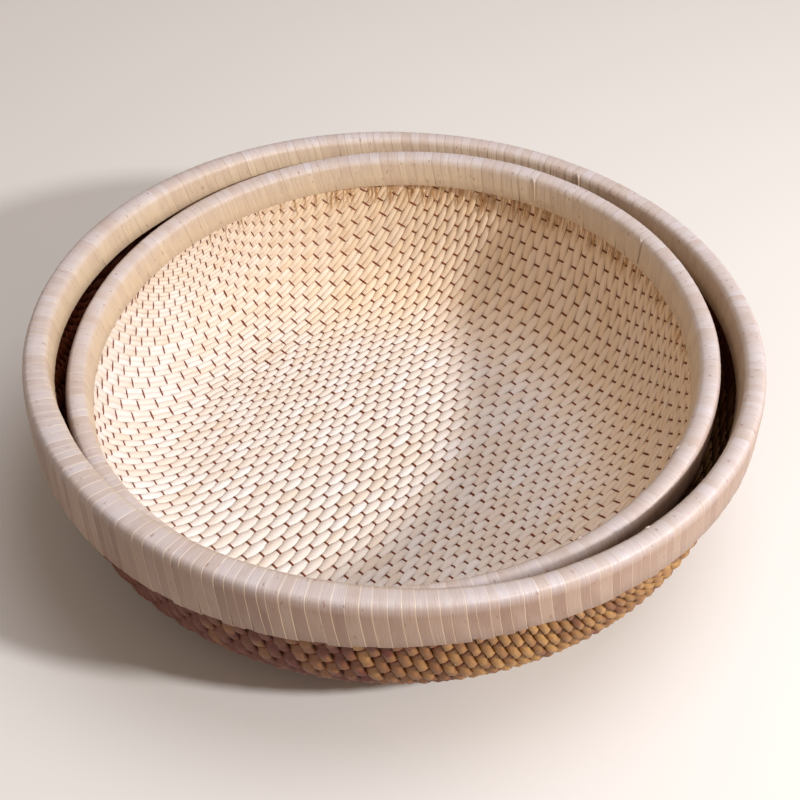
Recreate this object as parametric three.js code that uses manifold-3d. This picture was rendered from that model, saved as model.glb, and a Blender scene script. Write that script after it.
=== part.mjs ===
import * as THREE from 'three';
import { mergeGeometries, mergeVertices } from 'three/addons/utils/BufferGeometryUtils.js';
import Module from 'manifold-3d';

// A pair of shallow round willow baskets, the small one standing in the large one.
// Each is a woven bowl whose edge is clamped between two bent hoops and bound over with willow splint.
// Units are millimetres, +Z is up, and the origin is the middle of the large basket's flat underside.

// The large basket
const largeRimRadius = 250;
const largeHeight = 140;
const largeKneeRadius = 83; // the bend between the flat floor and the side

// The small basket stands on the large one's floor and is a touch longer from front to back
const rimClearanceAtSides = 8.3; // between the two rims, left and right, with the small basket in the middle
const rimClearanceAtEnds = 3.8; // the same at the front and back
const smallShiftLeft = 2.5; // how far it stands from the middle
const smallShiftBack = 1.8;
const smallRimDrop = 14.5; // the middle of its rim lies this far below the large one
const smallRimSlope = 3.7; // degrees that its rim is out of level
const smallHighSide = 37; // degrees from +X to where its rim is highest
const smallKneeRadius = 72;

// The woven shell
const weaveThickness = 7;
const sideLean = 12; // degrees from upright
const rodEndDrop = 4.5; // the shaved rod ends stop this far below the top of the rim

// The weave's ridges, on the faces that show: each stands for three rods side by side
const largeRodDirection = 70; // degrees from +X
const smallRodDirection = 48;
const ridgeSpacing = 18;
const ridgeTopWidth = 10;
const ridgeDepth = 2;
const ridgeEndDrop = 8; // they end this far below the rim's outer lower edge

// The rim, alike in both baskets
const rimDepthOutside = 33;
const rimDepthInside = 24;
const rimThickness = 18.2; // across the rim at its lower edge
const rimTopWidth = 14.7;
const outerShoulderWidth = 3.2; // the rounding of the top's outer edge
const outerShoulderDrop = 5;
const innerShoulderWidth = 2.6; // the rounding of the top's inner edge
const innerShoulderDrop = 2.5;
const crownFall = 0.9; // the top slopes down this much towards the outside

// The two hoops under the binding
const outerHoopThickness = 4.2;
const innerHoopThickness = 3.4;
const hoopRise = 1.2; // each hoop ends this far above the lower edge of the binding
const scarfAngle = 18; // degrees between a hoop and the slanting joint of its ends
const scarfReach = 30; // half the length of that joint's cut
const scarfGap = 0.4;

// The splint binding
const splintThickness = 1.2;
const grooveDepth = 0.8; // between one turn and the next
const splintsPerRim = 8;
const turnsPerLargeSplint = 19;
const turnsPerSmallSplint = 18;
const leanOutside = 1; // turns that a turn shifts sideways on its way down the outer face
const leanInside = -0.8; // the same down the inner face
const crestPlace = 0.35; // where in a turn its highest line lies

// Gaps and fineness
const fitGap = 0.3; // between pieces that touch
const roundSegments = 64;
const kneeSegments = 5;
const longestFacet = 40; // along a ridge, off the flat floor

const wasm = await Module();
wasm.setup();

const splintSeat = grooveDepth + splintThickness;
const hoopSeat = splintSeat + fitGap;
const sideAngle = THREE.MathUtils.degToRad(90 - sideLean);

function baskets() {
  const largeInnerRadius = largeRimRadius - rimThickness;
  const halfWidth = largeInnerRadius - rimClearanceAtSides;
  const halfDepth = largeInnerRadius - rimClearanceAtEnds;
  const smallFloorHeight = weaveThickness + fitGap;
  const large = {
    name: 'large',
    radius: largeRimRadius,
    height: largeHeight,
    kneeRadius: largeKneeRadius,
    turns: turnsPerLargeSplint,
    stretch: 1,
    rimSlope: 0,
    rodDirection: largeRodDirection,
    ridgedSide: -1,
    place: new THREE.Vector3(0, 0, 0),
  };
  const small = {
    name: 'small',
    radius: halfWidth,
    height: largeHeight - smallRimDrop - smallFloorHeight,
    kneeRadius: smallKneeRadius,
    turns: turnsPerSmallSplint,
    stretch: halfDepth / halfWidth,
    rimSlope: smallRimSlope,
    rodDirection: smallRodDirection,
    ridgedSide: 1,
    place: new THREE.Vector3(-smallShiftLeft, smallShiftBack, smallFloorHeight),
  };
  return [large, small];
}

// Radius of the rim's sloping inner face at a depth below its top
function innerFaceRadius(basket, depth) {
  const share = (depth - innerShoulderDrop) / (rimDepthInside - innerShoulderDrop);
  return basket.radius - rimTopWidth - share * (rimThickness - rimTopWidth);
}

// Moves an open outline inwards, to the left of its path, by the same distance everywhere
function insetOutline(outline, distance) {
  const shifted = [];
  for (let edge = 0; edge < outline.length - 1; edge++) {
    const along = outline[edge + 1].clone().sub(outline[edge]).normalize();
    const inwards = new THREE.Vector2(-along.y, along.x).multiplyScalar(distance);
    shifted.push({ start: outline[edge].clone().add(inwards), along });
  }
  return outline.map((point, index) => {
    const before = shifted[Math.max(index - 1, 0)];
    const after = shifted[Math.min(index, shifted.length - 1)];
    if (before === after) {
      const reach = point.clone().sub(before.start).dot(before.along);
      return before.start.clone().addScaledVector(before.along, reach);
    }
    const apart = after.start.clone().sub(before.start);
    const reach = apart.cross(after.along) / before.along.cross(after.along);
    return before.start.clone().addScaledVector(before.along, reach);
  });
}

// The rim's cross-section as radius and height: up the outer face, over the top and down the inner face
function rimOutline(basket, inset, extraDepth = 0) {
  const { radius, height } = basket;
  const innerDepth = rimDepthInside + extraDepth;
  const outline = [
    new THREE.Vector2(radius, height - rimDepthOutside - extraDepth),
    new THREE.Vector2(radius, height - outerShoulderDrop),
    new THREE.Vector2(radius - outerShoulderWidth, height - crownFall),
    new THREE.Vector2(radius - rimTopWidth + innerShoulderWidth, height),
    new THREE.Vector2(radius - rimTopWidth, height - innerShoulderDrop),
    new THREE.Vector2(innerFaceRadius(basket, innerDepth), height - innerDepth),
  ];
  return insetOutline(outline, inset);
}

// Keeps the part of a closed outline that lies to the left of the line from one point to another
function keepLeft(outline, from, to) {
  const along = to.clone().sub(from);
  const side = (point) => along.cross(point.clone().sub(from));
  const kept = [];
  outline.forEach((point, index) => {
    const next = outline[(index + 1) % outline.length];
    const here = side(point);
    const there = side(next);
    if (here >= 0) kept.push(point);
    if (here * there < 0) kept.push(point.clone().lerp(next, here / (here - there)));
  });
  return kept;
}

// Turns a closed outline of radius and height round the upright axis
function revolve(outline) {
  return new THREE.LatheGeometry(outline, roundSegments).rotateX(Math.PI / 2);
}

function revolveRing(outline) {
  return revolve([...outline, outline[0]]);
}

// Sews surfaces that meet edge to edge into one
function sewn(...surfaces) {
  const bare = surfaces.map((surface) => surface.clone().deleteAttribute('normal').deleteAttribute('uv'));
  return mergeVertices(mergeGeometries(bare));
}

function toSolid(geometry) {
  const merged = sewn(geometry);
  return new wasm.Manifold(new wasm.Mesh({
    numProp: 3,
    vertProperties: merged.attributes.position.array,
    triVerts: merged.index.array,
  }));
}

function indexedGeometry(positions, indices) {
  const geometry = new THREE.BufferGeometry();
  geometry.setAttribute('position', new THREE.Float32BufferAttribute(positions, 3));
  geometry.setIndex(indices);
  return geometry;
}

function toGeometry(solid) {
  const mesh = solid.getMesh();
  const geometry = new THREE.BufferGeometry();
  geometry.setAttribute('position', new THREE.BufferAttribute(mesh.vertProperties, 3));
  geometry.setIndex(new THREE.BufferAttribute(mesh.triVerts, 1));
  return geometry;
}

// Where the woven wall runs inside the rim, between the two hoops
function wallOuterRadius(basket) {
  return basket.radius - hoopSeat - outerHoopThickness - fitGap;
}

function wallInnerRadius(basket, depth) {
  return innerFaceRadius(basket, depth) + hoopSeat + innerHoopThickness + fitGap;
}

// The rim's lower edge, where the leaning side ends
function sideFoot(basket) {
  return basket.height - rimDepthOutside;
}

function floorRadius(basket) {
  const kneeWidth = basket.kneeRadius * (1 - Math.cos(sideAngle));
  return wallOuterRadius(basket) - (Math.cos(sideAngle) * sideFoot(basket) + kneeWidth) / Math.sin(sideAngle);
}

// Distances from the middle, measured along the weave, at which the knee bends and the side ends
function bendDistances(basket) {
  const bend = (basket.kneeRadius - weaveThickness / 2) * sideAngle;
  return Array.from({ length: kneeSegments + 1 }, (unused, step) => (
    floorRadius(basket) + bend * step / kneeSegments
  ));
}

// Radius and height of the weave at such a distance, with a lift from its middle layer inwards
function weavePoint(basket, distance, lift) {
  const { kneeRadius } = basket;
  const floor = floorRadius(basket);
  const bend = kneeRadius - weaveThickness / 2;
  const angle = THREE.MathUtils.clamp((distance - floor) / bend, 0, sideAngle);
  const rise = Math.max(distance - floor - bend * sideAngle, 0);
  return new THREE.Vector2(
    Math.min(distance, floor) + (bend - lift) * Math.sin(angle) + rise * Math.cos(sideAngle),
    kneeRadius - (bend - lift) * Math.cos(angle) + rise * Math.sin(sideAngle),
  );
}

// Where a ridge's line has points: close together on the knee and the side, and far apart on the flat floor
function lineStops(basket, across, reach) {
  const half = [];
  let last = 0;
  for (const distance of [...bendDistances(basket), reach]) {
    if (distance <= Math.abs(across)) continue;
    const stop = Math.sqrt(distance ** 2 - across ** 2);
    const pieces = distance > floorRadius(basket) ? Math.ceil((stop - last) / longestFacet) : 1;
    for (let piece = 1; piece <= pieces; piece++) half.push(last + (stop - last) * piece / pieces);
    last = stop;
  }
  return [...half.toReversed().map((stop) => -stop), 0, ...half];
}

// One straight line of the flat weave, bent over the bowl
function weaveLine(basket, across, lift, reach) {
  return lineStops(basket, across, reach).map((along) => {
    const angle = Math.atan2(across, along) + THREE.MathUtils.degToRad(basket.rodDirection);
    const point = pointAt(weavePoint(basket, Math.hypot(along, across), lift), angle);
    return { share: along, angle, point };
  });
}

// Gives the points of a closed loop their share of a full round, counted from a starting angle
function sharedRound(loop, startAngle) {
  const fullTurn = 2 * Math.PI;
  const shared = loop.map((item) => ({
    ...item,
    share: THREE.MathUtils.euclideanModulo(item.angle - startAngle, fullTurn) / fullTurn,
  }));
  return [...shared, { ...shared[0], share: shared[0].share + 1 }];
}

// The face of the bowl that shows, with its ridges, up to a ring of points at the rim's lower edge
function ridgedFace(basket, edge) {
  const kneeEnd = bendDistances(basket).at(-1);
  const sideRise = sideFoot(basket) - weavePoint(basket, kneeEnd, -weaveThickness / 2).y - ridgeEndDrop;
  const reach = kneeEnd + sideRise / Math.sin(sideAngle);
  const ridgesEachWay = Math.floor((reach - ridgeTopWidth) / ridgeSpacing);
  const top = basket.ridgedSide * weaveThickness / 2;
  const groove = top - basket.ridgedSide * ridgeDepth;
  const lines = [];
  for (let ridge = -ridgesEachWay; ridge <= ridgesEachWay; ridge++) {
    const middle = ridge * ridgeSpacing;
    if (lines.length) lines.push(weaveLine(basket, middle - ridgeSpacing / 2, groove, reach));
    lines.push(weaveLine(basket, middle - ridgeTopWidth / 2, top, reach));
    lines.push(weaveLine(basket, middle + ridgeTopWidth / 2, top, reach));
  }
  const ring = Array.from({ length: roundSegments }, (unused, step) => {
    const angle = 2 * Math.PI * step / roundSegments;
    return { angle, point: pointAt(edge, angle) };
  });
  const positions = [];
  for (const item of [...lines.flat(), ...ring]) {
    item.index = positions.length / 3;
    positions.push(...item.point);
  }
  const indices = [];
  for (let place = 1; place < lines.length; place++) joinLines(lines[place - 1], lines[place], indices);
  const between = lines.slice(1, -1);
  const border = [
    ...lines[0],
    ...between.map((line) => line.at(-1)),
    ...lines.at(-1).toReversed(),
    ...between.map((line) => line[0]).toReversed(),
  ];
  const startAngle = border[0].angle;
  const first = Math.ceil(startAngle / (2 * Math.PI) * roundSegments) + roundSegments;
  const turnedRing = ring.map((unused, step) => ring[(first + step) % roundSegments]);
  joinLines(sharedRound(turnedRing, startAngle), sharedRound(border, startAngle), indices);
  if (basket.ridgedSide < 0) indices.reverse();
  return indexedGeometry(positions, indices);
}

// The woven bowl: a flat floor, a round knee and a leaning side that thins to the rod ends in the rim
function bowlGeometry(basket) {
  const { height } = basket;
  const outer = wallOuterRadius(basket);
  const knee = (lift) => bendDistances(basket).map((distance) => weavePoint(basket, distance, lift));
  const edge = [
    new THREE.Vector2(outer, sideFoot(basket)),
    new THREE.Vector2(outer, height - rodEndDrop),
    new THREE.Vector2(wallInnerRadius(basket, rodEndDrop), height - rodEndDrop),
    new THREE.Vector2(wallInnerRadius(basket, rimDepthInside), height - rimDepthInside),
    new THREE.Vector2(outer - weaveThickness / Math.sin(sideAngle), sideFoot(basket)),
  ];
  if (basket.ridgedSide > 0) {
    const underside = [new THREE.Vector2(0, 0), ...knee(-weaveThickness / 2)];
    return sewn(revolve([...underside, ...edge]), ridgedFace(basket, edge.at(-1)));
  }
  const inside = [...knee(weaveThickness / 2).reverse(), new THREE.Vector2(0, weaveThickness)];
  return sewn(revolve([...edge, ...inside]), ridgedFace(basket, edge[0]));
}

// Opens a hoop where its two ends meet in a slanting joint
function cutScarf(hoop, radius, height, angle) {
  const slot = new THREE.BoxGeometry(scarfGap, 2 * scarfReach, rimDepthOutside * 2);
  slot.rotateZ(THREE.MathUtils.degToRad(-scarfAngle)).translate(radius, 0, height).rotateZ(angle);
  return toGeometry(toSolid(hoop).subtract(toSolid(slot)));
}

function outerHoopGeometry(basket, scarfPlace) {
  const inner = wallOuterRadius(basket) + fitGap;
  const envelope = rimOutline(basket, hoopSeat, -hoopRise);
  const section = keepLeft(envelope, new THREE.Vector2(inner, basket.height), new THREE.Vector2(inner, 0));
  const middle = inner + outerHoopThickness / 2;
  return cutScarf(revolveRing(section), middle, basket.height - rimDepthOutside / 2, scarfPlace);
}

function innerHoopGeometry(basket, scarfPlace) {
  const edgeAt = (depth) => new THREE.Vector2(wallInnerRadius(basket, depth) - fitGap, basket.height - depth);
  const envelope = rimOutline(basket, hoopSeat, -hoopRise);
  const level = basket.height - rimDepthInside + hoopRise;
  const trimmed = keepLeft(envelope, new THREE.Vector2(0, level), new THREE.Vector2(basket.radius, level));
  const section = keepLeft(trimmed, edgeAt(rimDepthOutside), edgeAt(0));
  const middle = edgeAt(rimDepthInside / 2).x - innerHoopThickness / 2;
  return cutScarf(revolveRing(section), middle, basket.height - rimDepthInside / 2, scarfPlace);
}

// How far each line of the rim's outline is shifted sideways, in turns, by the lean of the winding
const leanOfOutline = [leanOutside, 0, 0, 0, 0, leanInside];

function pointAt(outlinePoint, angle, radiusShare = 1) {
  const radius = outlinePoint.x * radiusShare;
  return [radius * Math.cos(angle), radius * Math.sin(angle), outlinePoint.y];
}

// The lines along a splint's outside: each turn rises from a groove to a crest
function outerLines(basket, firstAngle, pitch) {
  const crest = rimOutline(basket, 0);
  const groove = rimOutline(basket, grooveDepth);
  return leanOfOutline.map((lean, corner) => {
    const line = [];
    for (let ring = 0; ring <= 2 * basket.turns; ring++) {
      const onCrest = ring % 2 === 1;
      const turn = Math.floor(ring / 2) + (onCrest ? crestPlace : 0);
      const outline = onCrest ? crest : groove;
      line.push({
        share: turn / basket.turns,
        point: pointAt(outline[corner], firstAngle + pitch * (turn + lean)),
      });
    }
    return line;
  });
}

// The lines along its plain hollow, which keeps to the flats of the hoops that it rides over
function hollowLines(basket, firstAngle, pitch) {
  const flat = 2 * Math.PI / roundSegments;
  const sweep = pitch * basket.turns;
  return rimOutline(basket, splintSeat).map((outlinePoint, corner) => {
    const start = firstAngle + pitch * leanOfOutline[corner];
    const shares = [0];
    for (let step = Math.floor(start / flat + 1.001); step * flat < start + sweep; step++) {
      shares.push((step * flat - start) / sweep);
    }
    shares.push(1);
    return shares.map((share) => {
      const angle = start + share * sweep;
      const offMiddle = angle - (Math.floor(angle / flat) + 0.5) * flat;
      const radiusShare = Math.cos(flat / 2) / Math.cos(offMiddle);
      return { share, point: pointAt(outlinePoint, angle, radiusShare) };
    });
  });
}

// Joins two neighbouring lines by triangles, always stepping along the one whose next point comes first
function joinLines(lower, upper, indices) {
  let low = 0;
  let high = 0;
  while (low < lower.length - 1 || high < upper.length - 1) {
    const lowerIsNext = high === upper.length - 1
      || (low < lower.length - 1 && lower[low + 1].share <= upper[high + 1].share);
    if (lowerIsNext) {
      indices.push(lower[low].index, lower[low + 1].index, upper[high].index);
      low++;
    } else {
      indices.push(lower[low].index, upper[high + 1].index, upper[high].index);
      high++;
    }
  }
}

// One length of splint: its turns stand side by side and lean as they wind over hoops and wall
function splintGeometry(basket, firstAngle, pitch) {
  const outside = outerLines(basket, firstAngle, pitch);
  const hollow = hollowLines(basket, firstAngle, pitch);
  const loop = [...outside, ...hollow.toReversed()];
  const positions = [];
  for (const item of loop.flat()) {
    item.index = positions.length / 3;
    positions.push(...item.point);
  }
  const indices = [];
  loop.forEach((line, place) => joinLines(line, loop[(place + 1) % loop.length], indices));
  for (let corner = 0; corner < outside.length - 1; corner++) {
    const lines = [outside[corner], outside[corner + 1], hollow[corner + 1], hollow[corner]];
    const [a, b, c, d] = lines.map((line) => line[0].index);
    indices.push(a, b, c, a, c, d);
    const [e, f, g, h] = lines.map((line) => line.at(-1).index);
    indices.push(e, g, f, e, h, g);
  }
  return indexedGeometry(positions, indices);
}

function splintGeometries(basket) {
  const sector = 2 * Math.PI / splintsPerRim;
  const sweep = sector - fitGap / (basket.radius - rimThickness);
  return Array.from({ length: splintsPerRim }, (unused, index) => (
    splintGeometry(basket, index * sector, sweep / basket.turns)
  ));
}

const finishes = {
  bowl: { color: 0xefe2c6, roughness: 0.62, metalness: 0 },
  hoop: { color: 0xc8a678, roughness: 0.7, metalness: 0 },
  splint: { color: 0xd9c4b2, roughness: 0.5, metalness: 0 },
};

// Stretches a basket's piece from front to back and tips its rim, while its floor stays flat
function shaped(basket, geometry) {
  geometry.scale(1, basket.stretch, 1);
  const uphill = new THREE.Vector3(1, 0, 0).applyAxisAngle(
    new THREE.Vector3(0, 0, 1), THREE.MathUtils.degToRad(smallHighSide),
  ).multiplyScalar(Math.tan(THREE.MathUtils.degToRad(basket.rimSlope)));
  const positions = geometry.attributes.position;
  const point = new THREE.Vector3();
  for (let index = 0; index < positions.count; index++) {
    point.fromBufferAttribute(positions, index);
    const share = (point.z - weaveThickness) / (sideFoot(basket) - weaveThickness);
    positions.setZ(index, point.z + uphill.dot(point) * THREE.MathUtils.clamp(share, 0, 1));
  }
  geometry.computeVertexNormals();
  return geometry;
}

function addPiece(group, name, geometry, finish) {
  const mesh = new THREE.Mesh(geometry, new THREE.MeshStandardMaterial(finishes[finish]));
  mesh.name = name;
  group.add(mesh);
}

function basketGroup(basket) {
  const pieces = new THREE.Group();
  addPiece(pieces, `${basket.name}_woven_bowl`, shaped(basket, bowlGeometry(basket)), 'bowl');
  addPiece(pieces, `${basket.name}_outer_hoop`, shaped(basket, outerHoopGeometry(basket, 0)), 'hoop');
  addPiece(pieces, `${basket.name}_inner_hoop`, shaped(basket, innerHoopGeometry(basket, Math.PI)), 'hoop');
  splintGeometries(basket).forEach((geometry, index) => {
    addPiece(pieces, `${basket.name}_rim_splint_${index + 1}`, shaped(basket, geometry), 'splint');
  });
  pieces.position.copy(basket.place);
  return pieces;
}

const group = new THREE.Group();
for (const basket of baskets()) group.add(basketGroup(basket));

export default group;
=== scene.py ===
# %% [markdown]
# A pair of round willow baskets, the small one standing in the large one.
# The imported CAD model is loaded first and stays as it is, and everything made below is laid over it. The
# baskets' sizes and the camera's aim are in millimetres, and become metres where points are placed. The lamps
# and the floor are in metres.

import math
from types import SimpleNamespace

import bmesh
import bpy
import numpy as np
from mathutils import Matrix


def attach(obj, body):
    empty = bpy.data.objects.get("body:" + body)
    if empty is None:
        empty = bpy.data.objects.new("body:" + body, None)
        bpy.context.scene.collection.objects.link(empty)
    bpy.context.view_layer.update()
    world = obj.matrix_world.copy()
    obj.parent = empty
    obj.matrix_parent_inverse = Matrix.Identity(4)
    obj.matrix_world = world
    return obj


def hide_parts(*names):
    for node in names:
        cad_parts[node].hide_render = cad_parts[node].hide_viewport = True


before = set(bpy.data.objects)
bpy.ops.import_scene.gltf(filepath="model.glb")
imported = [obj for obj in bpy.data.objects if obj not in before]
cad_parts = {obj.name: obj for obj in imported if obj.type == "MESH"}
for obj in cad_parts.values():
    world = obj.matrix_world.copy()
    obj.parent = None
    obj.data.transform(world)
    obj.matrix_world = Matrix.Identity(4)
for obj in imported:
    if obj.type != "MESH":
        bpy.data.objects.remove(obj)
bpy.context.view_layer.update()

# %% [markdown]
# The camera goes in before any piece, so that each one can be judged from the photograph's angle. Aiming
# could be done by hand or by a constraint. Here the camera gets its place from a target, a distance, a height
# angle and a slight roll, because these four are what an outline fit to the photograph gives.

# %% The camera
MM = 0.001
lens = 64.62
aim_point = np.array([4.22, 0, 69.6])
aim_distance = 1022.6
elevation = math.radians(42.01)
roll = math.radians(1.43)

forward = np.array([0, math.cos(elevation), -math.sin(elevation)])
level_right = np.array([1, 0, 0])
level_up = np.cross(level_right, forward)
right = math.cos(roll) * level_right + math.sin(roll) * level_up
up = math.cos(roll) * level_up - math.sin(roll) * level_right
axes = np.array([right, up, -forward]).T
camera_place = (aim_point - aim_distance * forward) * MM

camera = bpy.data.objects.new("camera", bpy.data.cameras.new("camera"))
camera.data.lens = lens
camera.matrix_world = Matrix([[*row, where] for row, where in zip(axes, camera_place)] + [[0, 0, 0, 1]])
bpy.context.collection.objects.link(camera)
bpy.context.scene.camera = camera
print("camera stands at", [round(float(c), 3) for c in camera_place])

# %% [markdown]
# The photograph has low, slightly warm light from the right and a little in front, so the left inner wall is
# bright and the right one is in shade, and a weaker lilac light from above. Two lamps give that, and the
# world's warm glow fills in the rest. One big lamp alone would be simpler, but then the shade on the right
# would lose its edge. The floor is one plain square, just below the large basket.

# %% Lamps, world and floor
glow_tint = (1.0, 0.81, 0.65, 1)
glow_strength = 0.3
floor_half_width = 6
floor_drop = 0.0005


def add_lamp(name, position, size, watts, tint):
    lamp = bpy.data.objects.new(name, bpy.data.lights.new(name, "AREA"))
    lamp.data.shape = "DISK"
    lamp.data.size = size
    lamp.data.energy = watts
    lamp.data.color = tint
    lamp.location = position
    lamp.rotation_mode = "QUATERNION"
    lamp.rotation_quaternion = (-lamp.location).to_track_quat("-Z", "Y")
    bpy.context.collection.objects.link(lamp)
    print("lamp", name, "gives", watts, "W")


add_lamp("window", position=(1.61, -0.86, 1.23), size=0.2, watts=35.5, tint=(1.0, 0.965, 0.93))
add_lamp("sky", position=(0.55, 0.15, 2.05), size=1.5, watts=15, tint=(0.97, 0.95, 1.0))

world = bpy.data.worlds.new("room")
bpy.context.scene.world = world
world.use_nodes = True
glow = world.node_tree.nodes["Background"]
glow.inputs["Color"].default_value = glow_tint
glow.inputs["Strength"].default_value = glow_strength

floor_shape = bmesh.new()
bmesh.ops.create_grid(floor_shape, x_segments=1, y_segments=1, size=floor_half_width)
floor_mesh = bpy.data.meshes.new("floor")
floor_shape.to_mesh(floor_mesh)
floor = bpy.data.objects.new("floor", floor_mesh)
floor.location.z = -floor_drop
bpy.context.collection.objects.link(floor)
bpy.context.scene.view_settings.view_transform = "Standard"


# %% [markdown]
# A material is a tree of nodes, and its sums read best as sums. This small class wraps the output of a node,
# so that adding or multiplying it adds the Math node that does it. Any other node comes from one method.

# %% Shader sums
class Wire:
    """The output of a node, which can be reckoned with."""

    def __init__(self, finish, socket):
        self.finish = finish
        self.socket = socket

    def maths(self, operation, *values):
        return self.finish.node("ShaderNodeMath", {"operation": operation}, dict(enumerate(values)))

    def __add__(self, other):
        return self.maths("ADD", self, other)

    def __radd__(self, other):
        return self.maths("ADD", other, self)

    def __mul__(self, other):
        return self.maths("MULTIPLY", self, other)

    def __rmul__(self, other):
        return self.maths("MULTIPLY", other, self)

    def between(self, low, high):
        """0 below low, 1 above high and smooth in between."""
        return self.finish.node("ShaderNodeMapRange", {"interpolation_type": "SMOOTHSTEP"},
                                {"Value": self, "From Min": low, "From Max": high})


class Finish:
    """A material under construction, with its surface shader already in place."""

    def __init__(self, name, roughness, bump_depth):
        self.material = bpy.data.materials.new(name)
        self.material.use_nodes = True
        self.tree = self.material.node_tree
        self.shader = self.tree.nodes["Principled BSDF"]
        self.shader.inputs["Roughness"].default_value = roughness
        self.bump_depth = bump_depth

    def node(self, kind, settings, sockets, output=0):
        made = self.tree.nodes.new(kind)
        for name, value in settings.items():
            setattr(made, name, value)
        for name, value in sockets.items():
            if isinstance(value, Wire):
                self.tree.links.new(value.socket, made.inputs[name])
            else:
                made.inputs[name].default_value = value
        return Wire(self, made.outputs[output])

    def attribute(self, name, output="Fac"):
        return self.node("ShaderNodeAttribute", {"attribute_name": name}, {}, output)

    def object_place(self):
        return self.node("ShaderNodeTexCoord", {}, {}, "Object")

    def noise(self, vector, scale, detail=2.0):
        return self.node("ShaderNodeTexNoise", {}, {"Vector": vector, "Scale": scale, "Detail": detail})

    def stretched(self, vector, factors):
        return self.node("ShaderNodeVectorMath", {"operation": "MULTIPLY"}, {0: vector, 1: factors})

    def mix(self, share, first, second):
        """Sockets 6 and 7 are the two colours of a Mix node, and its output 2 is the mixed one."""
        return self.node("ShaderNodeMix", {"data_type": "RGBA"}, {0: share, 6: first, 7: second}, 2)

    def feed(self, socket, wire):
        self.tree.links.new(wire.socket, self.shader.inputs[socket])

    def feed_bump(self, height):
        bump = self.node("ShaderNodeBump", {}, {"Height": height, "Distance": self.bump_depth})
        self.feed("Normal", bump)


def colour(red, green, blue):
    """Screen values from 0 to 255 as the linear colour that a node wants."""
    return tuple(((part / 255 + 0.055) / 1.055) ** 2.4 for part in (red, green, blue)) + (1.0,)


# %% [markdown]
# Peeled willow is cream, never twice the same, with a fine grain along the rod. The grain has to follow each
# rod round the bowl, so each rod keeps its own coordinates in an attribute: millimetres along, across and
# out. Object coordinates would be simpler, but the grain would then cut straight through the rods. The side
# of the rods that faces out of the bowl kept more of its brown skin, darkened further as painted shade. The
# creases get painted shade, and the wall a painted warm tint.

# %% Willow rods
def willow_rods():
    finish = Finish("peeled_willow", roughness=0.5, bump_depth=0.0002)
    lay = finish.attribute("lay", "Vector")
    tone = finish.attribute("tone")
    grain = finish.noise(finish.stretched(lay, (0.05, 1.0, 1.0)), 1.6, 4)
    patches = finish.noise(finish.stretched(lay, (0.03, 0.1, 0.1)), 1.0)
    creased = finish.attribute("crease").between(0.3, 0.95) * 0.85

    cream, dull_cream, stain = colour(250, 247, 247), colour(239, 224, 208), colour(232, 206, 176)
    inner_fibre, warm_light_tint = colour(214, 176, 134), colour(246, 210, 156)
    inner = finish.mix(tone, cream, dull_cream)
    inner = finish.mix(patches.between(0.45, 0.75) * 0.3, inner, stain)
    inner = finish.mix(grain.between(0.55, 0.8) * 0.2, inner, inner_fibre)
    # Painted warm tint on the back and right of the wall, for the light that the bowl throws back, and near
    # the rim.
    inner = finish.mix(finish.attribute("warm"), inner, warm_light_tint)

    # The dark skin colour also serves as painted shade at the large basket's left.
    pale_skin, dark_skin_and_shade, outer_fibre = colour(190, 144, 82), colour(98, 34, 10), colour(130, 84, 46)
    outer = finish.mix(tone, pale_skin, dark_skin_and_shade)
    outer = finish.mix(grain.between(0.45, 0.7) * 0.5, outer, outer_fibre)

    # Painted shade in the creases, where a rod dips and along its sides.
    crease_shade = colour(58, 24, 12)
    surface = finish.mix(finish.attribute("brown_and_shade"), inner, outer)
    finish.feed("Base Color", finish.mix(creased, surface, crease_shade))
    finish.feed("Roughness", 0.42 + grain * 0.2)
    finish.feed_bump(grain)
    return finish.material


rods_finish = willow_rods()
print("made", rods_finish.name)

# %% [markdown]
# The cord is red-brown hemp. Its two strands show as slanting stripes, and at this size a wave texture gives
# them as well as geometry would. The torn fibres are raw willow, in two pale tones.

# %% Cord and torn fibre
def twisted_cord():
    finish = Finish("twisted_cord", roughness=0.8, bump_depth=0.0003)
    lay = finish.attribute("lay", "Vector")
    strands = finish.node("ShaderNodeTexWave", {"bands_direction": "DIAGONAL"}, {"Vector": lay, "Scale": 0.4})
    finish.feed("Base Color", finish.mix(strands, colour(104, 40, 20), colour(158, 84, 42)))
    finish.feed_bump(strands)
    return finish.material


def torn_fibre():
    finish = Finish("torn_fibre", roughness=0.7, bump_depth=0.0002)
    grain = finish.noise(finish.attribute("lay", "Vector"), 0.9)
    light, deep = colour(238, 206, 158), colour(198, 146, 92)
    finish.feed("Base Color", finish.mix(grain.between(0.35, 0.65), light, deep))
    finish.feed_bump(grain)
    return finish.material


cord_finish = twisted_cord()
fray_finish = torn_fibre()
print("made", cord_finish.name, "and", fray_finish.name)
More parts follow.
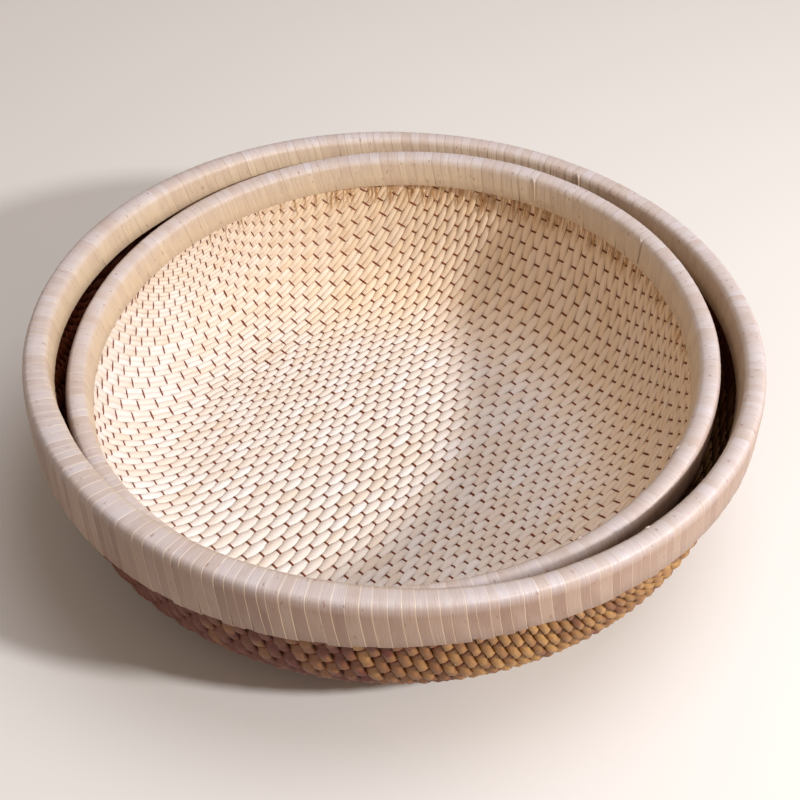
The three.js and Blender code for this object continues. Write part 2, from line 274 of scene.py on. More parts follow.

# %% [markdown]
# The splints are willow split thin, with grain along each turn, a few specks, and a pale raised edge where a
# turn lies on its neighbour. Their colour is painted by face: lilac white on top of the rim, painted as the
# sky's reflection, cream inside, and greyish brown outside as painted shade, with red-brown painted shade
# at the large rim's left. A picture of wood would repeat and show its seams. So every turn brings its own
# tone and coordinates.

# %% Splints
def willow_splint():
    finish = Finish("split_willow", roughness=0.34, bump_depth=0.0003)
    lay = finish.attribute("lay", "Vector")
    grain = finish.noise(finish.stretched(lay, (0.03, 1.5, 1.0)), 1.4, 4)
    patches = finish.noise(finish.stretched(lay, (0.03, 0.06, 1.0)), 1.0)
    specks = finish.noise(finish.stretched(lay, (0.5, 1.0, 1.0)), 0.34, 1)

    # Painted light by face: the top's lilac stands for the sky's reflection, the outer face's greyish brown
    # is painted shade.
    top_sky_sheen, cream, outer_face_shade = colour(227, 220, 225), colour(226, 206, 176), colour(162, 130, 113)
    base = finish.mix(finish.attribute("inner"), top_sky_sheen, cream)
    base = finish.mix(finish.attribute("outer"), base, outer_face_shade)

    left_shade_brown, tan, stain = colour(112, 74, 60), colour(205, 180, 160), colour(196, 172, 158)
    # Painted shade, red brown, on the large rim's outer face at its left.
    base = finish.mix(finish.attribute("shaded") * 0.5, base, left_shade_brown)
    base = finish.mix(finish.attribute("tone") * 0.45, base, tan)
    base = finish.mix(patches.between(0.45, 0.75) * 0.35, base, stain)

    fibre, speck, raised_edge = colour(166, 130, 104), colour(150, 104, 84), colour(238, 222, 184)
    base = finish.mix(grain.between(0.45, 0.75) * 0.4, base, fibre)
    base = finish.mix(specks.between(0.68, 0.74) * 0.5, base, speck)
    base = finish.mix(finish.attribute("edge").between(0.3, 1.0) * 0.35, base, raised_edge)
    finish.feed("Base Color", base)
    finish.feed("Roughness", 0.26 + grain * 0.2)
    finish.feed_bump(grain)
    return finish.material


splint_finish = willow_splint()
print("made", splint_finish.name)

# %% [markdown]
# The hoops' laths are old plain wood, and the floor is almost white and matt. Both could have a map of their
# own. But the laths' grain runs level round the hoop and the floor has none, so Object coordinates will do.

# %% Laths and floor
def hoop_lath():
    finish = Finish("bent_lath", roughness=0.6, bump_depth=0.0003)
    grain = finish.noise(finish.stretched(finish.object_place(), (1, 1, 20)), 40, 4)
    finish.feed("Base Color", finish.mix(grain, colour(150, 108, 70), colour(104, 66, 38)))
    finish.feed_bump(grain)
    return finish.material


def pale_floor():
    finish = Finish("pale_floor", roughness=0.9, bump_depth=0.0001)
    clouds = finish.noise(finish.object_place(), 3)
    finish.feed("Base Color", finish.mix(clouds, colour(243, 242, 241), colour(246, 246, 246)))
    return finish.material


lath_finish = hoop_lath()
floor_mesh.materials.append(pale_floor())
print("finishes:", [m.name for m in bpy.data.materials])

# %% [markdown]
# Each basket is one flat mat of rods that was pressed into a round bowl, with a level floor, a bend and a
# steep wall that ends inside the rim. One line from the centre of the floor up into the rim holds that shape.
# It could be drawn as a curve object, but a few named sizes are easier to change.

# %% The two bowls
weave_thickness = 7
wall_angle = math.radians(78)
knee_steps = 40
section_step = 1.0
rim_depth_outside = 33
rim_wall_inset = 6.8
reach_into_rim = 16
small_half_width, small_half_depth = 223.5, 228
small_rim_slope = math.radians(3.7)
small_high_side = math.radians(37)

# The knee is the radius of the bend. Stretch lengthens a basket from front to back, shift and base set it in
# place, and uphill slopes its rim. Turned and twist say which way the rods run, and turns counts the turns of
# one splint. The last two say whether a basket gets painted shade, a brown inner wall and darker rods at its
# left and in the gap, and where on the wall that and a painted warm tint begin.
LARGE = SimpleNamespace(name="large", radius=250, height=140, knee=83, stretch=1, shift=(0, 0), base=0,
                        uphill=0, turned=math.radians(70), twist=-0.13, turns=27, brown_and_shade=1,
                        tinted_from=150)
SMALL = SimpleNamespace(name="small", radius=small_half_width, height=118.2, knee=72,
                        stretch=small_half_depth / small_half_width, shift=(-2.5, 1.8), base=7.3,
                        uphill=math.tan(small_rim_slope), turned=math.radians(48), twist=0, turns=24,
                        brown_and_shade=0, tinted_from=120)


def bowl_section(basket):
    """The line through the middle of the weave, from the centre of the floor up into the rim."""
    half = weave_thickness / 2
    wall = basket.radius - rim_wall_inset
    foot = basket.height - rim_depth_outside
    sine, cosine = math.sin(wall_angle), math.cos(wall_angle)
    floor_radius = (sine * wall - cosine * foot - basket.knee * (1 - cosine)) / sine
    turn = np.linspace(0, wall_angle, knee_steps)
    knee = basket.knee - half
    radii = [0, *(floor_radius + knee * np.sin(turn)), wall - half * sine, wall - half, wall - half]
    heights = [half, *(basket.knee - knee * np.cos(turn)), foot, foot + half, foot + reach_into_rim]
    steps = np.hypot(np.diff(radii), np.diff(heights))
    run = np.concatenate([[0], np.cumsum(steps)])
    even = np.arange(0, run[-1], section_step)
    radius, height = np.interp(even, run, radii), np.interp(even, run, heights)
    slope = np.array([np.gradient(radius), np.gradient(height)])
    slope /= np.hypot(*slope)
    return SimpleNamespace(run=even, radius=radius, height=height, inward=-slope[1], upward=slope[0])


for basket in (LARGE, SMALL):
    basket.section = bowl_section(basket)
    basket.reach = basket.section.run[-1] - section_step
    basket.flat_reach = basket.section.run[basket.section.height > weave_thickness][0]
    print(basket.name, "mat measures", round(2 * basket.reach), "mm across")

# %% [markdown]
# The model is woven the same way: every rod and cord is laid out straight, on the flat mat, and one function
# then bends the mat over the bowl. It keeps the distance from the middle along the bowl, and the direction. A
# lattice or a shrinkwrap could bend the mat too, but neither would keep the thickness of the rods.

# %% Bending the mat
def fading_in(value, start, length):
    """0 up to the start, and 1 from a length after it."""
    return np.clip((value - start) / length, 0, 1)


def in_place(basket, radius, angle, height):
    """Points round a basket's own axis, in metres in the shared frame."""
    x, y = radius * np.cos(angle), basket.stretch * radius * np.sin(angle)
    share = fading_in(height, weave_thickness, basket.height - rim_depth_outside - weave_thickness)
    rise = share * basket.uphill * (x * math.cos(small_high_side) + y * math.sin(small_high_side))
    return np.stack([x + basket.shift[0], y + basket.shift[1], height + rise + basket.base], axis=-1) * MM


def over_bowl(basket, along, across, lift):
    """Bends points of the flat mat over the bowl. Lift is measured from the middle of the weave, inwards."""
    line = basket.section
    away = np.hypot(along, across)
    angle = np.arctan2(across, along) + basket.turned + basket.twist * (away / basket.reach) ** 2
    radius = np.interp(away, line.run, line.radius) + lift * np.interp(away, line.run, line.inward)
    height = np.interp(away, line.run, line.height) + lift * np.interp(away, line.run, line.upward)
    return in_place(basket, radius, angle, height)


for basket in (LARGE, SMALL):
    ends = [in_place(basket, side * basket.radius, small_high_side, basket.height) for side in (-1, 1)]
    print(basket.name, "rim is", [round(end[2] / MM) for end in ends], "mm high at its two sides")

# %% [markdown]
# Rods, cords, torn fibres and turns of splint are all long, thin and closed. So all of them start as a
# straight round tube, made by the cone and subdivide operators, and only then are its rings spread out,
# squeezed and lifted into place. That is far quicker than bevelled curves, and gives every strand clean rings
# and its own coordinates.

# %% Tubes and meshes
def straight_tube(rings, sides):
    """A closed tube of radius 1 along Z, with its rings 1 apart and the first at 0."""
    shape = bmesh.new()
    bmesh.ops.create_cone(shape, cap_ends=True, segments=sides, radius1=1, radius2=1, depth=rings - 1)
    lengthwise = [e for e in shape.edges if abs(e.verts[0].co.z - e.verts[1].co.z) > 0.5]
    bmesh.ops.subdivide_edges(shape, edges=lengthwise, cuts=rings - 2, use_grid_fill=True)
    bmesh.ops.translate(shape, verts=shape.verts, vec=(0, 0, (rings - 1) / 2))
    return shape


class Bundle:
    """Collects tubes, moves their points and makes one smooth mesh object of them."""

    def __init__(self):
        self.whole = bmesh.new()
        self.points = []
        self.values = []

    def add(self, rings, sides, laid):
        """laid turns ring numbers and unit-circle places into points and named values."""
        tube = straight_tube(rings, sides)
        start = np.array([v.co for v in tube.verts])
        points, values = laid(start[:, 2], start[:, 0], start[:, 1])
        loose = bpy.data.meshes.new("loose")
        tube.to_mesh(loose)
        tube.free()
        self.whole.from_mesh(loose)
        bpy.data.meshes.remove(loose)
        self.points.append(points)
        self.values.append(values)

    def finish(self, name, material):
        mesh = bpy.data.meshes.new(name)
        self.whole.to_mesh(mesh)
        self.whole.free()
        mesh.vertices.foreach_set("co", np.concatenate(self.points).ravel())
        for key in self.values[0]:
            stacked = np.concatenate([v[key] for v in self.values])
            kind, field = ("FLOAT_VECTOR", "vector") if stacked.ndim == 2 else ("FLOAT", "value")
            mesh.attributes.new(key, kind, "POINT").data.foreach_set(field, stacked.ravel())
        mesh.polygons.foreach_set("use_smooth", [True] * len(mesh.polygons))
        mesh.materials.append(material)
        mesh.update()
        made = bpy.data.objects.new(name, mesh)
        bpy.context.collection.objects.link(made)
        print(name, "has", sum(len(p.vertices) - 2 for p in mesh.polygons), "triangles")
        return made


# %% [markdown]
# The rods lie side by side and the cords cross them, over one rod and under the next. The weaver started in
# the middle with two cords and worked outwards. In the small basket the rods are thick there and thinner
# further out, and near the edge two thin ones go together in each row. Every row and cord could be drawn by
# hand from the photograph. One rule for rows and one for cords is shorter, and fills the hidden parts too.

# %% Rows and cords
# Row 0 lies at first_rod, and the two first cords lie first_cord to both sides of the middle. Rows are
# rod_pitch wide, and up to thicker_by more in the middle. Beyond pairs_from they hold two rods, and are
# pair_pitch wide, less pairs_narrow for each further millimetre. Cords are cord_pitch apart, and each gap is
# wider than the last by twice cord_growth.
SMALL.first_rod, SMALL.middle, SMALL.first_cord = -0.6, 14, 6
SMALL.rod_pitch, SMALL.thicker_by, SMALL.thick_within = 4.5, 1.8, 62
SMALL.pairs_from, SMALL.pair_pitch, SMALL.pairs_narrow = 137, 8.9, 0.028
SMALL.cord_pitch, SMALL.cord_growth = 8.0, 0.08
LARGE.first_rod, LARGE.middle, LARGE.first_cord = 0, 0, 5.1
LARGE.rod_pitch, LARGE.thicker_by, LARGE.thick_within = 6.1, 0, 62
LARGE.pairs_from, LARGE.pair_pitch, LARGE.pairs_narrow = 300, 6.7, 0
LARGE.cord_pitch, LARGE.cord_growth = 10.2, 0
edge_margin = 3
nearest_to_middle = 0.1


def row_pitch(basket, place):
    if abs(place) > basket.pairs_from:
        return basket.pair_pitch - basket.pairs_narrow * (abs(place) - basket.pairs_from)
    return basket.rod_pitch + basket.thicker_by * math.exp(-(place / basket.thick_within) ** 2)


def rows_of(basket):
    """Every row of the mat: its number, its place across, its pitch, and whether two thin rods share it."""
    rows = []
    for side in (1, -1):
        place, number = basket.first_rod, 0
        while abs(place) < basket.reach - edge_margin:
            pitch = row_pitch(basket, place)
            if number or side == 1:
                rows.append(SimpleNamespace(number=side * number, place=place, pitch=pitch,
                                            paired=abs(place) > basket.pairs_from))
            place += side * (pitch + row_pitch(basket, place + side * pitch)) / 2
            number += 1
    return sorted(rows, key=lambda row: row.place)


def cord_place(basket, number):
    """Cord 0 and cord 1 are the two that the weaver started with."""
    steps = np.abs(number - 0.5) - 0.5
    away = basket.first_cord + basket.cord_pitch * steps + basket.cord_growth * steps * np.abs(steps)
    return basket.middle + np.sign(number - 0.5) * np.maximum(away, nearest_to_middle)


for basket in (LARGE, SMALL):
    basket.rows = rows_of(basket)
    paired = sum(row.paired for row in basket.rows)
    print(basket.name, "has", len(basket.rows), "rows, of which", paired, "in pairs")

# %% [markdown]
# The real weave isn't even. In the small basket the cords draw in towards the edge and slip to one side on
# one half, and the rods spread. In the large one the rods fan out. A second rule shifts the even crossings
# to where the photograph shows them, so the first one can stay simple.

# %% Drawing in
draw_length = 200
rods_fan = 0.35
cords_tighten = 0.22
tighten_from = -10
cords_slip = 6.5
slip_within = 60
spread_ahead, spread_behind, spread_shift = 0.11, 0.25, 3
last_cord = 38
rings_per_cord = 4


def drawn_in(basket, along, across):
    """Shifts crossings on the even mat to where the real weave has them."""
    outwards = (along / draw_length) ** 2
    if basket is LARGE:
        return along, across * (1 + rods_fan * outwards)
    tighter = 1 - cords_tighten * ((across - tighten_from) / draw_length) ** 2
    slipped = cords_slip * fading_in(-across, 0, slip_within)
    spread = np.where(along > 0, spread_ahead, spread_behind) * across - spread_shift
    return basket.middle + (along - basket.middle) * tighter - slipped, across + spread * outwards


def numbers_within(basket, across):
    """The cord numbers, in quarters, between the two ends of the line at this place across the mat."""
    most = rings_per_cord * last_cord
    numbers = np.arange(-most, most + 1) / rings_per_cord
    inside = np.hypot(*drawn_in(basket, cord_place(basket, numbers), across)) < basket.reach
    return numbers[inside]


for basket in (LARGE, SMALL):
    crossed = np.ptp(numbers_within(basket, basket.first_rod))
    print(basket.name, "basket's middle rod crosses about", round(crossed), "cords")

# %% [markdown]
# Old willow is never one colour. Each length of rod, from one dip to the next, has its own tone. The back and
# right of the wall get a painted warm tint, for the light that the bowl throws back into its shade, and the
# rods grow warmer towards the rim. The large basket's wall is brown inside as painted shade, with more
# painted shade at its left and in the gap, and painted shade lies where a rod dips and along its sides. It
# could all be painted into an image, but worked out from each point's place it stays with the weave when a
# size changes.

# %% Tone, painted warm light and painted shade
wall_fade = 60
warm_side, warm_most, warm_reach = math.radians(35), 0.5, 0.6
warm_edge, warm_edge_depth, warm_edge_fade = 0.14, 45, 30
shade_side, shade_most = math.radians(205), 0.9
gap_shade, gap_depth, gap_fade = 0.6, 80, 40
tone_drop = 0.1
crease_inside = 0.15
skin_round_to = 0.3


def surface_values(basket, along, across, side, out, wave, valley, tone):
    """What the willow material reads. Wave is -1 where a rod dips inside, valley 1 where it dips outside."""
    away = np.hypot(along, across)
    direction = np.arctan2(across, along) + basket.turned
    on_wall = fading_in(away, basket.tinted_from, wall_fade)
    # Painted shade: darker at the large basket's left, and inside it near the rim, in the gap.
    shaded = shade_most * np.clip(np.cos(direction - shade_side), 0, 1)
    shaded += np.where(out > 0, gap_shade, 0) * fading_in(away, basket.reach - gap_depth, gap_fade)
    # Painted warm tint on the back and right of the wall, for light thrown back in the bowl, and towards the
    # rim.
    warm = warm_most * on_wall * np.clip(warm_reach + np.cos(direction - warm_side), 0, 1)
    warm += warm_edge * fading_in(away, basket.reach - warm_edge_depth, warm_edge_fade)
    # Painted shade where a rod dips and along its sides.
    hollow = np.clip(np.maximum(np.where(out > 0, -wave, valley), side ** 6), 0, 1)
    # Tone carries the painted shade. The brown share is the skin outside, and painted shade on the large
    # inner wall.
    return {"tone": np.clip(tone - tone_drop + basket.brown_and_shade * shaded, 0, 1),
            "brown_and_shade": np.maximum(basket.brown_and_shade * on_wall, np.clip(skin_round_to - out, 0, 1)),
            "warm": warm,
            "crease": np.where(out > 0, crease_inside, 1) * hollow}


# %% [markdown]
# A rod is widest where it rides over a cord, and narrow where the next cord holds it down between its
# neighbours. It is flatter on the inside of the bowl than on the outside, where it bulges most on the wall. A
# cloth or particle simulation could press the rods together, but a wave along each rod gives the same look at
# once, and the same look every time.

# %% The rods
rod_sides = 8
fewest_rings = 8
width_play = (0.96, 1.04)
rod_lap = 0.12
rod_swell, pair_swell = 0.19, 0.02
swell_lost, swell_lost_from, swell_lost_over = 0.65, 130, 70
rod_lift_inside, rod_lift_outside = 0.55, 1.1
rod_height_inside, rod_height_outside = 1.5, 2.2
rod_flat_inside, pair_flat_inside, rod_flat_outside = 0.34, 0.28, 0.65
wall_plumper = 0.5
flank_within = 0.01
pair_places = (-0.25, 0.25)
tones_per_rod = 120
rod_tone_share, length_tone_share = 0.4, 0.6
lay_row_step = 40


def lay_rod(basket, draw, row, place, pitch):
    numbers = numbers_within(basket, place)
    if len(numbers) < fewest_rings:
        return None
    width = pitch / 2 * draw.uniform(*width_play)
    rod_tone = draw.uniform(0, 1)
    length_tones = draw.uniform(0, 1, tones_per_rod)

    def laid(ring, side, out):
        number = np.interp(ring, np.arange(len(numbers)), numbers)
        cord = cord_place(basket, number)
        wave = -np.cos(math.pi * (number + row.number + 1))
        valley = 2 * ((1 + wave) / 2) ** 3 - 1
        flat_inside = pair_flat_inside if row.paired else rod_flat_inside
        flatness = np.where(out > 0, flat_inside, rod_flat_outside)
        side = np.sign(side) * np.abs(side) ** flatness
        out = np.sign(out) * np.abs(out) ** flatness
        swell = pair_swell if row.paired else rod_swell
        if basket is SMALL:
            swell *= 1 - swell_lost * fading_in(np.abs(cord), swell_lost_from, swell_lost_over)
        along, across = drawn_in(basket, cord, place + (width * (1 + swell * wave) + rod_lap) * side)
        plumper = 1 + wall_plumper * fading_in(np.hypot(along, across), basket.flat_reach, wall_fade)
        lift = np.where(out > 0, rod_lift_inside * wave + rod_height_inside * out,
                        plumper * (rod_lift_outside * valley + rod_height_outside * out))
        lift = np.where(np.abs(out) < flank_within, rod_lift_inside * wave, lift)
        length = np.floor((number + row.number + 1 + tones_per_rod) / 2).astype(int) % tones_per_rod
        tone = rod_tone_share * rod_tone + length_tone_share * length_tones[length]
        values = {"lay": np.stack([along, across + lay_row_step * row.number, lift], axis=-1)}
        values.update(surface_values(basket, along, across, side, out, wave, valley, tone))
        return over_bowl(basket, along, across, lift), values

    return len(numbers), laid


def weave_rods(basket, seed, parts):
    draw = np.random.default_rng(seed)
    rods = []
    for row in basket.rows:
        if row.paired:
            rods += [lay_rod(basket, draw, row, row.place + share * row.pitch, row.pitch / 2)
                     for share in pair_places]
        else:
            rods.append(lay_rod(basket, draw, row, row.place, row.pitch))
    rods = [rod for rod in rods if rod]
    total = sum(rings for rings, laid in rods)
    bundles, done = [Bundle() for _ in range(parts)], 0
    for rings, laid in rods:
        bundles[min(parts - 1, int(parts * done / total))].add(rings, rod_sides, laid)
        done += rings
    for index, bundle in enumerate(bundles):
        piece = bundle.finish(f"{basket.name}_rods_{index + 1}", rods_finish)
        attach(piece, f"{basket.name}_basket")
        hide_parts(f"{basket.name}_woven_bowl")


weave_rods(LARGE, seed=11, parts=2)
weave_rods(SMALL, seed=12, parts=2)

# %% [markdown]
# The cord is thin hemp, twisted from two strands. Only its short bars show, one on each rod that it holds
# down, so bars alone would do. A whole cord that dips between the rods is as easy, and its bars then line up
# by themselves. The two starting cords are a little thicker.

# %% The cords
cord_sides = 5
fewest_places = 5
cord_radius = 0.8
girth_play = (0.9, 1.1)
starting_cords = (0, 1)
starting_growth = 1.35
cord_lift_inside, cord_lift_outside = 0.95, -1.5
bar_half = 0.3


def lay_cord(basket, draw, cord):
    girth = cord_radius * (starting_growth if cord in starting_cords else 1) * draw.uniform(*girth_play)
    places, heights = [], []
    for row in basket.rows:
        over = (row.number + 1 + cord) % 2 == 0
        for share in (-bar_half, bar_half):
            place = row.place + share * row.pitch
            if np.hypot(*drawn_in(basket, cord_place(basket, cord), place)) < basket.reach:
                places.append(place)
                heights.append(cord_lift_inside if over else cord_lift_outside)
    places, heights = np.array(places), np.array(heights)

    def laid(ring, side, out):
        index = np.arange(len(places))
        across = np.interp(ring, index, places)
        lift = np.interp(ring, index, heights) + girth * out
        along, across = drawn_in(basket, cord_place(basket, cord) + girth * side, across)
        lay = np.stack([across, girth * side, lift], axis=-1)
        return over_bowl(basket, along, across, lift), {"lay": lay}

    return len(places), laid


def weave_cords(basket, seed):
    draw = np.random.default_rng(seed)
    bundle = Bundle()
    for cord in range(-last_cord, last_cord + 1):
        rings, laid = lay_cord(basket, draw, cord)
        if rings >= fewest_places:
            bundle.add(rings, cord_sides, laid)
    piece = bundle.finish(f"{basket.name}_cords", cord_finish)
    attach(piece, f"{basket.name}_basket")


weave_cords(LARGE, seed=21)
weave_cords(SMALL, seed=22)

# %% [markdown]
# Where the rods go up into the rim, torn fibres and trimmed ends stick out below the binding, most of them at
# the back and on the right. Hair particles could do it. Two hundred thin tapering tubes that lie on the weave
# and point down the wall are real geometry, and their number and places are easier to hold.

# %% Frayed ends
fray_rings = 5
fray_sides = 4
fray_count = 200
fray_middle, fray_spread = math.radians(55), math.radians(36)
fray_lengths = (3, 10)
fray_hidden = 9
fray_lean = 0.25
fray_girths = (0.3, 0.7)
fray_taper = 0.7
fray_lift, fray_curl = 2.1, 0.9


def lay_fray(basket, draw):
    angle = draw.normal(fray_middle, fray_spread) - basket.turned
    length = draw.uniform(*fray_lengths)
    lean = draw.normal(0, fray_lean)
    girth = draw.uniform(*fray_girths)
    start = basket.reach - reach_into_rim + fray_hidden

    def laid(ring, side, out):
        share = ring / (fray_rings - 1)
        away = start - (length + fray_hidden) * share
        thin = girth * (1 - fray_taper * share)
        sideways = lean * length * share + thin * side
        lift = fray_lift + fray_curl * share ** 2 + thin * out
        along = away * np.cos(angle) - sideways * np.sin(angle)
        across = away * np.sin(angle) + sideways * np.cos(angle)
        lay = np.stack([away, sideways, lift], axis=-1)
        return over_bowl(basket, along, across, lift), {"lay": lay}

    return laid


def fray_edge(basket, seed):
    draw = np.random.default_rng(seed)
    bundle = Bundle()
    for _ in range(fray_count):
        bundle.add(fray_rings, fray_sides, lay_fray(basket, draw))
    piece = bundle.finish(f"{basket.name}_frayed_ends", fray_finish)
    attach(piece, f"{basket.name}_basket")


fray_edge(SMALL, seed=41)

# %% [markdown]
# The rim is bound with split willow, one turn beside the other. A turn starts under the outer hoop, climbs
# the outer face at a lean, goes squarely over the top and leans again down the inside. The binding's outline
# is the line that every turn follows. It is a short list of points, because no formula has this shape.

# %% The rim's outline
outer_points = 5


def rim_outline(basket):
    """From below the outer hoop, over the top and inside: radius, height, lean in turns, outer, inner."""
    radius, height = basket.radius, basket.height
    return np.array([
        (radius - 8.0, height - 33.6, 0.68, 1, 0), (radius - 2.2, height - 33.4, 0.66, 1, 0),
        (radius, height - 31.2, 0.62, 1, 0), (radius, height - 20.0, 0.30, 1, 0),
        (radius, height - 9.0, 0.06, 1, 0), (radius - 0.6, height - 4.2, 0.02, 0.6, 0),
        (radius - 2.4, height - 1.3, 0, 0.1, 0), (radius - 4.6, height - 0.2, 0, 0, 0),
        (radius - 8.2, height - 0.4, 0, 0, 0), (radius - 12.0, height - 1.0, 0, 0, 0.1),
        (radius - 14.4, height - 2.7, -0.02, 0, 0.4), (radius - 15.3, height - 5.8, -0.1, 0, 0.8),
        (radius - 16.7, height - 15.0, -0.4, 0, 1), (radius - 18.0, height - 22.8, -0.7, 0, 1),
        (radius - 16.6, height - 24.3, -0.74, 0, 1), (radius - 12.2, height - 24.6, -0.76, 0, 1),
    ])


def outline_normals(points):
    slope = np.gradient(points[:, :2], axis=0)
    slope /= np.linalg.norm(slope, axis=1)[:, None]
    return np.stack([slope[:, 1], -slope[:, 0]], axis=-1)


for basket in (LARGE, SMALL):
    basket.outline = rim_outline(basket)
    basket.normals = outline_normals(basket.outline)
    print(basket.name, "rim is bound to", round(np.ptp(basket.outline[:, 1]), 1), "mm deep")

# %% [markdown]
# The photographed large rim has habits of its own. At its left it reaches lower, and from there to the front
# it is fuller inside, so that it closes on the small rim, and its left is also painted darker as shade. A
# second outline could say that. A habit is shorter: a few directions, counted anticlockwise from the right,
# with its strength at each.

# %% The large rim's habits
deeper_left = ([120, 170, 240, 288], [0, 10, 10, 0])
deeper_from, deeper_over = 9, 24
foot_inset = 0.25
fuller_front = ([120, 160, 191, 206, 262, 290], [0, 1.5, 1.6, 4.2, 4.2, 0])
fuller_shares = np.array([0, 0, 0, 0, 0, 0, 0, 0, 0.25, 0.8, 1.3, 1.3, 1.1, 1, 1, 0.3])
# Painted shade on the large rim's outer face at its left.
shaded_left = ([120, 170, 235, 300], [0, 1, 1, 0])


def habit_at(basket, angle, habit):
    """How strong a habit of the large rim is in these directions. The small rim has none."""
    return np.interp(np.degrees(angle) % 360, *habit) if basket is LARGE else np.zeros_like(angle)


# %% [markdown]
# Lines in a texture could stand for the turns of splint, but they would lie flat where the light rakes over
# the rim. So each turn is a tube too, flattened to a strip whose one edge lies on its neighbour. The overlap
# is what draws the fine lines round the rim. The strip's eight corners have a place across the turn, a depth
# below the outline, and a share of the pale edge. No rim is quite even, so the outline is dented a little,
# and each turn has its own width, lean, depth and reach.

# %% One turn of splint
strip_sides = 8
strip_overlap = 1.08
strip_tilt = 0.14
strip_clearance = 0.1
strip_across = np.array([1.0, 0.95, 0.78, -0.78, -0.95, -1.0, -0.9, 0.95])
strip_depths = np.array([0.15, 0.02, 0.0, 0.0, 0.02, 0.12, 0.8, 0.8])
strip_edges = np.array([1.0, 0.9, 0.0, 0.0, 0.0, 0.0, 0.0, 1.0])
rim_dents = [(5, 0.1), (11, 0.06), (23, 0.04)]
turn_leans = (0.85, 1.15)
turn_depths = (0, 0.12)
turn_reach = 0.5
lay_turn_step = 30


def lay_turn(basket, start, sweep, pitch, draw, number):
    outline, normals = basket.outline, basket.normals
    run = np.concatenate([[0], np.cumsum(np.linalg.norm(np.diff(outline[:, :2], axis=0), axis=1))])
    tone = draw.uniform(0, 1)
    lean = pitch * draw.uniform(*turn_leans)
    depth = draw.uniform(*turn_depths)
    reach = draw.normal(0, turn_reach)

    def laid(ring, side, out):
        index = np.clip(np.rint(ring).astype(int), 0, len(outline) - 1)
        corner = np.rint(np.arctan2(out, side) / (2 * math.pi) * strip_sides).astype(int) % strip_sides
        sideways = strip_across[corner]
        angle = start + sweep * (0.5 + strip_overlap * sideways / 2) + lean * outline[index, 2]
        dented = sum(deep * (1 + np.sin(count * angle + count)) for count, deep in rim_dents)
        sunk = strip_clearance + strip_tilt * (1 - sideways) / 2 + strip_depths[corner] + depth + dented
        deeper = habit_at(basket, angle, deeper_left)
        low = fading_in(basket.height - outline[index, 1], deeper_from, deeper_over) * (index < outer_points)
        radius = outline[index, 0] - sunk * normals[index, 0]
        radius -= habit_at(basket, angle, fuller_front) * fuller_shares[index]
        radius -= deeper * foot_inset * (index == 0)
        height = outline[index, 1] - sunk * normals[index, 1] - (deeper + reach) * low
        across = sideways * sweep * basket.radius / 2 + lay_turn_step * number
        return (in_place(basket, radius, angle, height),
                {"lay": np.stack([run[index], across, np.zeros(len(index))], axis=-1),
                 "tone": np.full(len(index), tone), "edge": strip_edges[corner],
                 "outer": outline[index, 3], "inner": outline[index, 4],
                 "shaded": habit_at(basket, angle, shaded_left) * outline[index, 3]})

    return len(outline), laid


# %% [markdown]
# Where a splint runs out, its end crosses the next turns on the inner face and is tucked under them. Such a
# tip could be cut from a turn. It is easier as a narrow strip of its own, which starts broad near the top of
# the rim, tapers down the inside and arches a little away from it. About half of the splints show one.

# %% A tucked tip
tip_rings = 9
tip_sides = 6
tip_chance = 0.5
tip_clear = 2
tip_first, tip_last = 9.6, 12.6
tip_width, tip_taper, tip_lean = 0.26, 0.8, 0.7
tip_lifts = (0.1, 0.25)
tip_arch = 0.9
tip_thick, tip_sunk = 0.35, 0.2
tip_tone = 0.6
tip_edge_from = 0.4
lay_tip_length, lay_tip_width = 30, 3


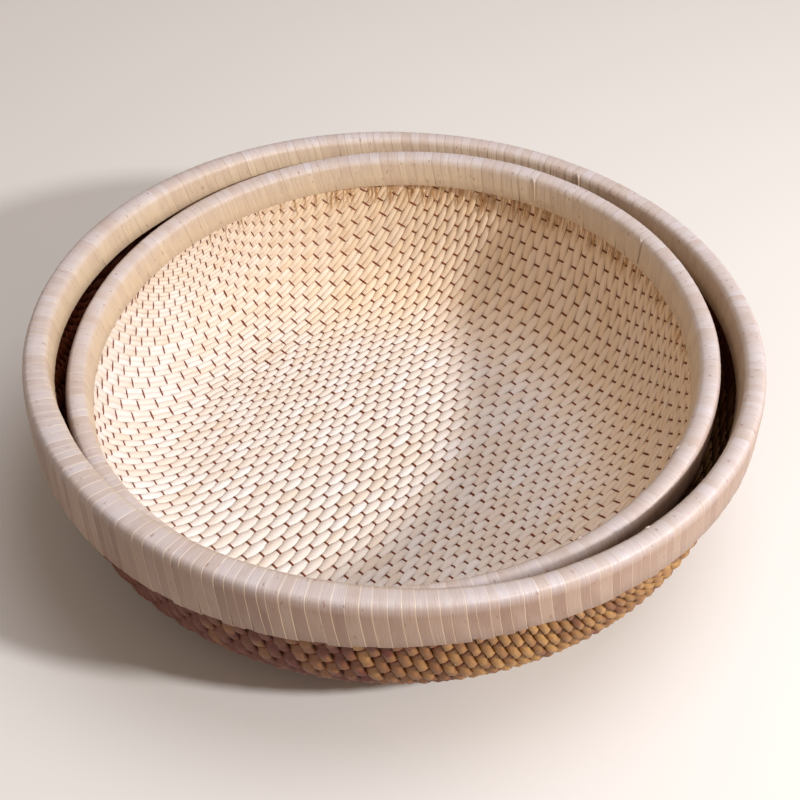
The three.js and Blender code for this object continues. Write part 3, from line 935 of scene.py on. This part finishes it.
def lay_tip(basket, start, pitch, draw):
    outline, normals = basket.outline, basket.normals
    most_lift = draw.uniform(*tip_lifts)

    def laid(ring, side, out):
        share = ring / (tip_rings - 1)
        place = tip_first + (tip_last - tip_first) * share
        steps = np.arange(len(outline))
        radius, height, outer, inner = (np.interp(place, steps, outline[:, k]) for k in (0, 1, 3, 4))
        push, rise = (np.interp(place, steps, normals[:, k]) for k in (0, 1))
        angle = start + pitch * (0.5 - tip_lean * share + tip_width * (1 - tip_taper * share) * side)
        lift = most_lift * np.sin(math.pi * tip_arch * share) + tip_thick * out - tip_sunk
        lay = np.stack([lay_tip_length * share, lay_tip_width * side, np.zeros(len(ring))], axis=-1)
        return (in_place(basket, radius + lift * push, angle, height + lift * rise),
                {"lay": lay, "tone": np.full(len(ring), tip_tone),
                 "edge": np.clip(np.abs(side) - tip_edge_from, 0, 1),
                 "outer": outer, "inner": inner, "shaded": np.zeros(len(ring))})

    return laid


# %% [markdown]
# Each rim is bound by eight splints, which are eight pieces here as in the CAD model. Their turns could all
# be alike, but a real splint's width changes, so the turns share out their eighth of the rim unevenly.

# %% The bindings
splints_per_rim = 8
turn_widths = (0.72, 1.28)


def bind_rim(basket, seed):
    draw = np.random.default_rng(seed)
    sector = 2 * math.pi / splints_per_rim
    pitch = sector / basket.turns
    for splint in range(splints_per_rim):
        widths = draw.uniform(*turn_widths, basket.turns)
        widths *= sector / widths.sum()
        starts = splint * sector + np.concatenate([[0], np.cumsum(widths)[:-1]])
        bundle = Bundle()
        for turn, (start, sweep) in enumerate(zip(starts, widths)):
            rings, laid = lay_turn(basket, start, sweep, pitch, draw, splint * basket.turns + turn)
            bundle.add(rings, strip_sides, laid)
        if draw.uniform() < tip_chance:
            place = starts[draw.integers(tip_clear, basket.turns - tip_clear)]
            bundle.add(tip_rings, tip_sides, lay_tip(basket, place, pitch, draw))
        piece = bundle.finish(f"{basket.name}_binding_{splint + 1}", splint_finish)
        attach(piece, f"{basket.name}_basket")
        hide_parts(f"{basket.name}_rim_splint_{splint + 1}")


bind_rim(LARGE, seed=31)
bind_rim(SMALL, seed=32)

# %% [markdown]
# The two hoops inside each rim are bent laths that the binding hides. They could be made again with a finer
# mesh, but nobody would see it, and the CAD model has their shape. So they stay, and only get their finish.

# %% The hoops
for name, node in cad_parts.items():
    if name.endswith("hoop"):
        node.material_slots[0].material = lath_finish
        print(name, "keeps its shape")
